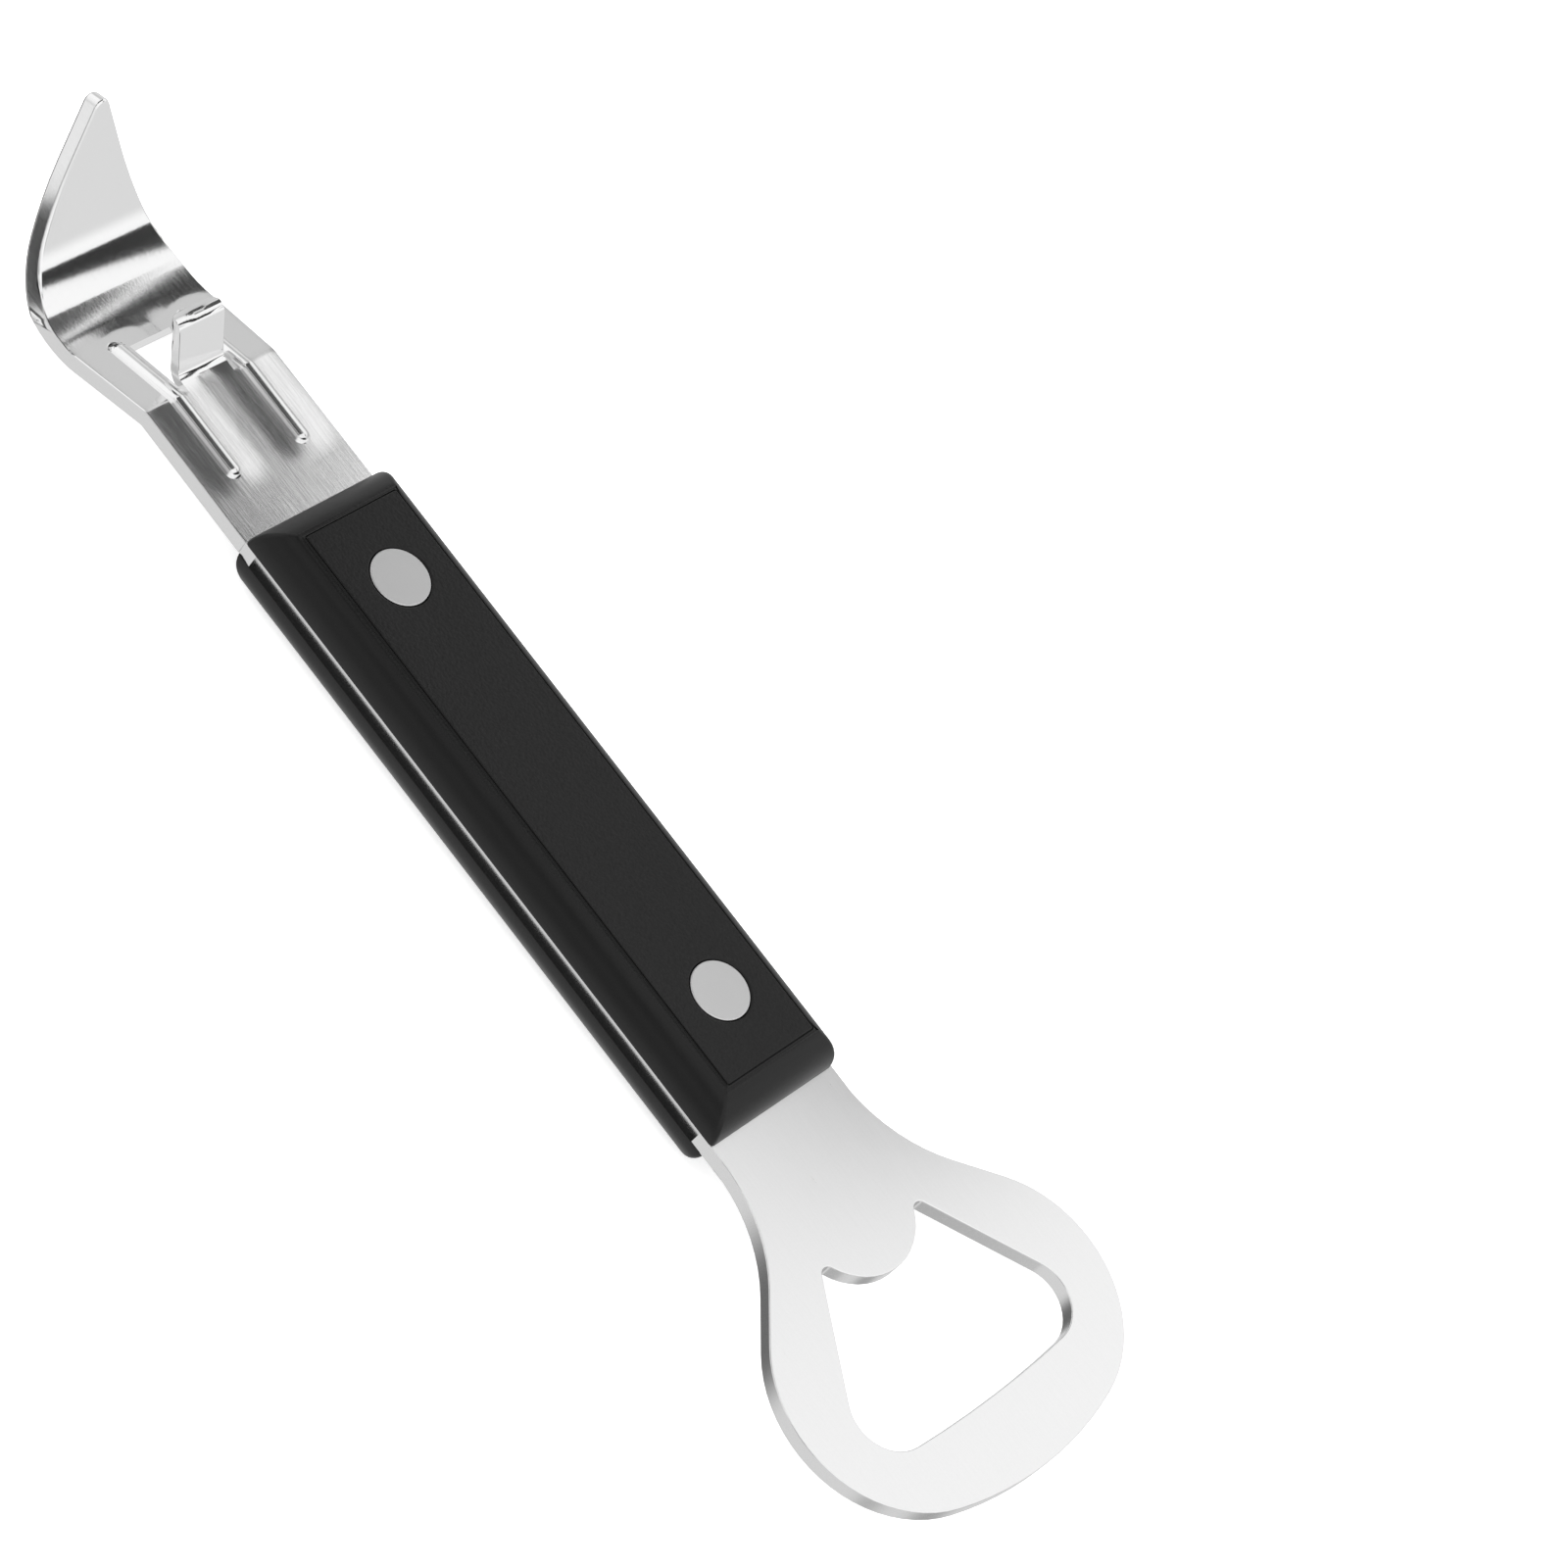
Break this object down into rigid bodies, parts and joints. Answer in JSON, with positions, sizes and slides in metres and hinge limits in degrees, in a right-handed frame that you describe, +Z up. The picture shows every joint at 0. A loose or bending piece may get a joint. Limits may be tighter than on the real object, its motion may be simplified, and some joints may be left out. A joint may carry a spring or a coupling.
{
  "type": "manual can opener",
  "caption": "Flat stamped can opener with a bent piercing blade and catch lug at one end, a cap-lifter mouth at the other, and a riveted two-scale handle.",
  "frame": {"origin": "middle of the bounding box, on the surface that the opener rests on (the flat of the back scale)", "axes": "+X along the opener towards the cap-lifter head, +Z up through the front scale, the side that the catch lug and the blade's tip point to, +Y across"},
  "size_m": [0.1834, 0.0494, 0.0225],
  "materials": {
    "stainless_plate": "satin head, bright polished piercer, fine lengthwise brushing on the neck",
    "black_scale": "fine pebble grain on the flat, smoother on the flanks",
    "rivet_metal": "flat satin heads"
  },
  "bodies": {
    "root": {"opener_plate": "stainless_plate", "front_scale": "black_scale", "back_scale": "black_scale", "rivet_pin_piercer_end": "rivet_metal", "rivet_tube_piercer_end": "rivet_metal", "rivet_pin_head_end": "rivet_metal", "rivet_tube_head_end": "rivet_metal"}
  },
  "joints": []
}
